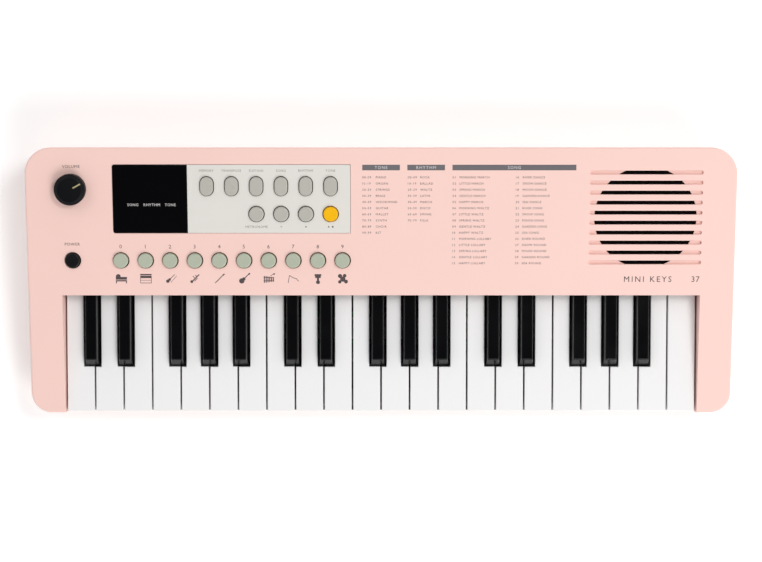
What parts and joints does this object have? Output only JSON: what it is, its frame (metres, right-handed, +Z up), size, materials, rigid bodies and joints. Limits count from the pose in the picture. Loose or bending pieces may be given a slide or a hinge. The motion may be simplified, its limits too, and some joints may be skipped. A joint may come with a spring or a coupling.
{
  "type": "toy electronic keyboard",
  "caption": "Small electronic keyboard with mini piano keys, a sloping control panel with display window, push buttons, a volume knob and a slotted round loudspeaker grille.",
  "frame": {"origin": "on the table under the middle of the case", "axes": "+X along the keys towards the high notes, +Y towards the back, +Z up"},
  "size_m": [0.51, 0.193, 0.0604],
  "materials": {
    "pink_shell": "satin",
    "pale_panel": "satin",
    "gloss_window": "gloss",
    "circuit_board": "solder mask",
    "pale_rubber": "matte",
    "speaker_black": "satin",
    "socket_black": "satin",
    "chassis_grey": "satin",
    "felt": "matte",
    "cell_sleeve": "printed sleeve",
    "spring_steel": "plated",
    "foot_rubber": "matte",
    "screw_steel": "zinc",
    "number_cap": "satin",
    "grey_cap": "satin",
    "yellow_cap": "satin",
    "black_cap": "satin",
    "key_white": "gloss",
    "key_black": "satin"
  },
  "bodies": {
    "case": {"upper_case": "pink_shell", "lower_case": "pink_shell", "control_panel": "pale_panel", "display_window": "gloss_window", "main_board": "circuit_board", "button_rubber": "pale_rubber", "speaker": "speaker_black", "rear_sockets": "socket_black", "key_chassis": "chassis_grey", "key_felts": "felt", "key_contact_board": "circuit_board", "key_contact_rubber": "pale_rubber", "battery_cells": "cell_sleeve", "battery_contacts": "spring_steel", "rubber_feet": "foot_rubber", "case_screws": "screw_steel"},
    "volume_knob": {"volume_knob": "black_cap"},
    "battery_door": {"battery_door": "pink_shell"},
    "number_buttons": {"number_buttons": "number_cap"},
    "mode_buttons": {"mode_buttons": "grey_cap"},
    "option_buttons": {"option_buttons": "grey_cap"},
    "start_button": {"start_button": "yellow_cap"},
    "power_button": {"power_button": "black_cap"},
    "white_key_01": {"white_key_01": "key_white"},
    "white_key_02": {"white_key_02": "key_white"},
    "white_key_03": {"white_key_03": "key_white"},
    "white_key_04": {"white_key_04": "key_white"},
    "white_key_05": {"white_key_05": "key_white"},
    "white_key_06": {"white_key_06": "key_white"},
    "white_key_07": {"white_key_07": "key_white"},
    "white_key_08": {"white_key_08": "key_white"},
    "white_key_09": {"white_key_09": "key_white"},
    "white_key_10": {"white_key_10": "key_white"},
    "white_key_11": {"white_key_11": "key_white"},
    "white_key_12": {"white_key_12": "key_white"},
    "white_key_13": {"white_key_13": "key_white"},
    "white_key_14": {"white_key_14": "key_white"},
    "white_key_15": {"white_key_15": "key_white"},
    "white_key_16": {"white_key_16": "key_white"},
    "white_key_17": {"white_key_17": "key_white"},
    "white_key_18": {"white_key_18": "key_white"},
    "white_key_19": {"white_key_19": "key_white"},
    "white_key_20": {"white_key_20": "key_white"},
    "white_key_21": {"white_key_21": "key_white"},
    "white_key_22": {"white_key_22": "key_white"},
    "black_key_01": {"black_key_01": "key_black"},
    "black_key_02": {"black_key_02": "key_black"},
    "black_key_03": {"black_key_03": "key_black"},
    "black_key_04": {"black_key_04": "key_black"},
    "black_key_05": {"black_key_05": "key_black"},
    "black_key_06": {"black_key_06": "key_black"},
    "black_key_07": {"black_key_07": "key_black"},
    "black_key_08": {"black_key_08": "key_black"},
    "black_key_09": {"black_key_09": "key_black"},
    "black_key_10": {"black_key_10": "key_black"},
    "black_key_11": {"black_key_11": "key_black"},
    "black_key_12": {"black_key_12": "key_black"},
    "black_key_13": {"black_key_13": "key_black"},
    "black_key_14": {"black_key_14": "key_black"},
    "black_key_15": {"black_key_15": "key_black"}
  },
  "joints": [
    {"name": "volume_turn", "type": "hinge", "parent": "case", "child": "volume_knob", "pos_m": [-0.222, 0.0668, 0.05147], "axis": [0, -0.1184, 0.993], "range_deg": [-90, 210]},
    {"name": "battery_door_swing", "type": "hinge", "parent": "case", "child": "battery_door", "pos_m": [0.06, 0.0824, 0.0025], "axis": [1, 0, 0], "range_deg": [0, 75]},
    {"name": "number_press", "type": "slide", "parent": "case", "child": "number_buttons", "axis": [0, 0.1184, -0.993], "range_m": [0, 0.0012], "stiffness_N_per_m": 400, "springref_m": -0.001},
    {"name": "mode_press", "type": "slide", "parent": "case", "child": "mode_buttons", "axis": [0, 0.1184, -0.993], "range_m": [0, 0.0012], "stiffness_N_per_m": 400, "springref_m": -0.001},
    {"name": "option_press", "type": "slide", "parent": "case", "child": "option_buttons", "axis": [0, 0.1184, -0.993], "range_m": [0, 0.0012], "stiffness_N_per_m": 400, "springref_m": -0.001},
    {"name": "start_press", "type": "slide", "parent": "case", "child": "start_button", "axis": [0, 0.1184, -0.993], "range_m": [0, 0.0012], "stiffness_N_per_m": 400, "springref_m": -0.001},
    {"name": "power_press", "type": "slide", "parent": "case", "child": "power_button", "axis": [0, 0.1184, -0.993], "range_m": [0, 0.0012], "stiffness_N_per_m": 400, "springref_m": -0.001},
    {"name": "white_key_01_press", "type": "hinge", "parent": "case", "child": "white_key_01", "pos_m": [0, 0.012, 0.022], "axis": [1, 0, 0], "range_deg": [0, 2.1], "stiffness_Nm_per_rad": 0.6, "springref_deg": -1.72},
    {"name": "white_key_02_press", "type": "hinge", "parent": "case", "child": "white_key_02", "pos_m": [0, 0.012, 0.022], "axis": [1, 0, 0], "range_deg": [0, 2.1], "stiffness_Nm_per_rad": 0.6, "springref_deg": -1.72},
    {"name": "white_key_03_press", "type": "hinge", "parent": "case", "child": "white_key_03", "pos_m": [0, 0.012, 0.022], "axis": [1, 0, 0], "range_deg": [0, 2.1], "stiffness_Nm_per_rad": 0.6, "springref_deg": -1.72},
    {"name": "white_key_04_press", "type": "hinge", "parent": "case", "child": "white_key_04", "pos_m": [0, 0.012, 0.022], "axis": [1, 0, 0], "range_deg": [0, 2.1], "stiffness_Nm_per_rad": 0.6, "springref_deg": -1.72},
    {"name": "white_key_05_press", "type": "hinge", "parent": "case", "child": "white_key_05", "pos_m": [0, 0.012, 0.022], "axis": [1, 0, 0], "range_deg": [0, 2.1], "stiffness_Nm_per_rad": 0.6, "springref_deg": -1.72},
    {"name": "white_key_06_press", "type": "hinge", "parent": "case", "child": "white_key_06", "pos_m": [0, 0.012, 0.022], "axis": [1, 0, 0], "range_deg": [0, 2.1], "stiffness_Nm_per_rad": 0.6, "springref_deg": -1.72},
    {"name": "white_key_07_press", "type": "hinge", "parent": "case", "child": "white_key_07", "pos_m": [0, 0.012, 0.022], "axis": [1, 0, 0], "range_deg": [0, 2.1], "stiffness_Nm_per_rad": 0.6, "springref_deg": -1.72},
    {"name": "white_key_08_press", "type": "hinge", "parent": "case", "child": "white_key_08", "pos_m": [0, 0.012, 0.022], "axis": [1, 0, 0], "range_deg": [0, 2.1], "stiffness_Nm_per_rad": 0.6, "springref_deg": -1.72},
    {"name": "white_key_09_press", "type": "hinge", "parent": "case", "child": "white_key_09", "pos_m": [0, 0.012, 0.022], "axis": [1, 0, 0], "range_deg": [0, 2.1], "stiffness_Nm_per_rad": 0.6, "springref_deg": -1.72},
    {"name": "white_key_10_press", "type": "hinge", "parent": "case", "child": "white_key_10", "pos_m": [0, 0.012, 0.022], "axis": [1, 0, 0], "range_deg": [0, 2.1], "stiffness_Nm_per_rad": 0.6, "springref_deg": -1.72},
    {"name": "white_key_11_press", "type": "hinge", "parent": "case", "child": "white_key_11", "pos_m": [0, 0.012, 0.022], "axis": [1, 0, 0], "range_deg": [0, 2.1], "stiffness_Nm_per_rad": 0.6, "springref_deg": -1.72},
    {"name": "white_key_12_press", "type": "hinge", "parent": "case", "child": "white_key_12", "pos_m": [0, 0.012, 0.022], "axis": [1, 0, 0], "range_deg": [0, 2.1], "stiffness_Nm_per_rad": 0.6, "springref_deg": -1.72},
    {"name": "white_key_13_press", "type": "hinge", "parent": "case", "child": "white_key_13", "pos_m": [0, 0.012, 0.022], "axis": [1, 0, 0], "range_deg": [0, 2.1], "stiffness_Nm_per_rad": 0.6, "springref_deg": -1.72},
    {"name": "white_key_14_press", "type": "hinge", "parent": "case", "child": "white_key_14", "pos_m": [0, 0.012, 0.022], "axis": [1, 0, 0], "range_deg": [0, 2.1], "stiffness_Nm_per_rad": 0.6, "springref_deg": -1.72},
    {"name": "white_key_15_press", "type": "hinge", "parent": "case", "child": "white_key_15", "pos_m": [0, 0.012, 0.022], "axis": [1, 0, 0], "range_deg": [0, 2.1], "stiffness_Nm_per_rad": 0.6, "springref_deg": -1.72},
    {"name": "white_key_16_press", "type": "hinge", "parent": "case", "child": "white_key_16", "pos_m": [0, 0.012, 0.022], "axis": [1, 0, 0], "range_deg": [0, 2.1], "stiffness_Nm_per_rad": 0.6, "springref_deg": -1.72},
    {"name": "white_key_17_press", "type": "hinge", "parent": "case", "child": "white_key_17", "pos_m": [0, 0.012, 0.022], "axis": [1, 0, 0], "range_deg": [0, 2.1], "stiffness_Nm_per_rad": 0.6, "springref_deg": -1.72},
    {"name": "white_key_18_press", "type": "hinge", "parent": "case", "child": "white_key_18", "pos_m": [0, 0.012, 0.022], "axis": [1, 0, 0], "range_deg": [0, 2.1], "stiffness_Nm_per_rad": 0.6, "springref_deg": -1.72},
    {"name": "white_key_19_press", "type": "hinge", "parent": "case", "child": "white_key_19", "pos_m": [0, 0.012, 0.022], "axis": [1, 0, 0], "range_deg": [0, 2.1], "stiffness_Nm_per_rad": 0.6, "springref_deg": -1.72},
    {"name": "white_key_20_press", "type": "hinge", "parent": "case", "child": "white_key_20", "pos_m": [0, 0.012, 0.022], "axis": [1, 0, 0], "range_deg": [0, 2.1], "stiffness_Nm_per_rad": 0.6, "springref_deg": -1.72},
    {"name": "white_key_21_press", "type": "hinge", "parent": "case", "child": "white_key_21", "pos_m": [0, 0.012, 0.022], "axis": [1, 0, 0], "range_deg": [0, 2.1], "stiffness_Nm_per_rad": 0.6, "springref_deg": -1.72},
    {"name": "white_key_22_press", "type": "hinge", "parent": "case", "child": "white_key_22", "pos_m": [0, 0.012, 0.022], "axis": [1, 0, 0], "range_deg": [0, 2.1], "stiffness_Nm_per_rad": 0.6, "springref_deg": -1.72},
    {"name": "black_key_01_press", "type": "hinge", "parent": "case", "child": "black_key_01", "pos_m": [0, 0.012, 0.022], "axis": [1, 0, 0], "range_deg": [0, 2.1], "stiffness_Nm_per_rad": 0.6, "springref_deg": -1.72},
    {"name": "black_key_02_press", "type": "hinge", "parent": "case", "child": "black_key_02", "pos_m": [0, 0.012, 0.022], "axis": [1, 0, 0], "range_deg": [0, 2.1], "stiffness_Nm_per_rad": 0.6, "springref_deg": -1.72},
    {"name": "black_key_03_press", "type": "hinge", "parent": "case", "child": "black_key_03", "pos_m": [0, 0.012, 0.022], "axis": [1, 0, 0], "range_deg": [0, 2.1], "stiffness_Nm_per_rad": 0.6, "springref_deg": -1.72},
    {"name": "black_key_04_press", "type": "hinge", "parent": "case", "child": "black_key_04", "pos_m": [0, 0.012, 0.022], "axis": [1, 0, 0], "range_deg": [0, 2.1], "stiffness_Nm_per_rad": 0.6, "springref_deg": -1.72},
    {"name": "black_key_05_press", "type": "hinge", "parent": "case", "child": "black_key_05", "pos_m": [0, 0.012, 0.022], "axis": [1, 0, 0], "range_deg": [0, 2.1], "stiffness_Nm_per_rad": 0.6, "springref_deg": -1.72},
    {"name": "black_key_06_press", "type": "hinge", "parent": "case", "child": "black_key_06", "pos_m": [0, 0.012, 0.022], "axis": [1, 0, 0], "range_deg": [0, 2.1], "stiffness_Nm_per_rad": 0.6, "springref_deg": -1.72},
    {"name": "black_key_07_press", "type": "hinge", "parent": "case", "child": "black_key_07", "pos_m": [0, 0.012, 0.022], "axis": [1, 0, 0], "range_deg": [0, 2.1], "stiffness_Nm_per_rad": 0.6, "springref_deg": -1.72},
    {"name": "black_key_08_press", "type": "hinge", "parent": "case", "child": "black_key_08", "pos_m": [0, 0.012, 0.022], "axis": [1, 0, 0], "range_deg": [0, 2.1], "stiffness_Nm_per_rad": 0.6, "springref_deg": -1.72},
    {"name": "black_key_09_press", "type": "hinge", "parent": "case", "child": "black_key_09", "pos_m": [0, 0.012, 0.022], "axis": [1, 0, 0], "range_deg": [0, 2.1], "stiffness_Nm_per_rad": 0.6, "springref_deg": -1.72},
    {"name": "black_key_10_press", "type": "hinge", "parent": "case", "child": "black_key_10", "pos_m": [0, 0.012, 0.022], "axis": [1, 0, 0], "range_deg": [0, 2.1], "stiffness_Nm_per_rad": 0.6, "springref_deg": -1.72},
    {"name": "black_key_11_press", "type": "hinge", "parent": "case", "child": "black_key_11", "pos_m": [0, 0.012, 0.022], "axis": [1, 0, 0], "range_deg": [0, 2.1], "stiffness_Nm_per_rad": 0.6, "springref_deg": -1.72},
    {"name": "black_key_12_press", "type": "hinge", "parent": "case", "child": "black_key_12", "pos_m": [0, 0.012, 0.022], "axis": [1, 0, 0], "range_deg": [0, 2.1], "stiffness_Nm_per_rad": 0.6, "springref_deg": -1.72},
    {"name": "black_key_13_press", "type": "hinge", "parent": "case", "child": "black_key_13", "pos_m": [0, 0.012, 0.022], "axis": [1, 0, 0], "range_deg": [0, 2.1], "stiffness_Nm_per_rad": 0.6, "springref_deg": -1.72},
    {"name": "black_key_14_press", "type": "hinge", "parent": "case", "child": "black_key_14", "pos_m": [0, 0.012, 0.022], "axis": [1, 0, 0], "range_deg": [0, 2.1], "stiffness_Nm_per_rad": 0.6, "springref_deg": -1.72},
    {"name": "black_key_15_press", "type": "hinge", "parent": "case", "child": "black_key_15", "pos_m": [0, 0.012, 0.022], "axis": [1, 0, 0], "range_deg": [0, 2.1], "stiffness_Nm_per_rad": 0.6, "springref_deg": -1.72}
  ]
}
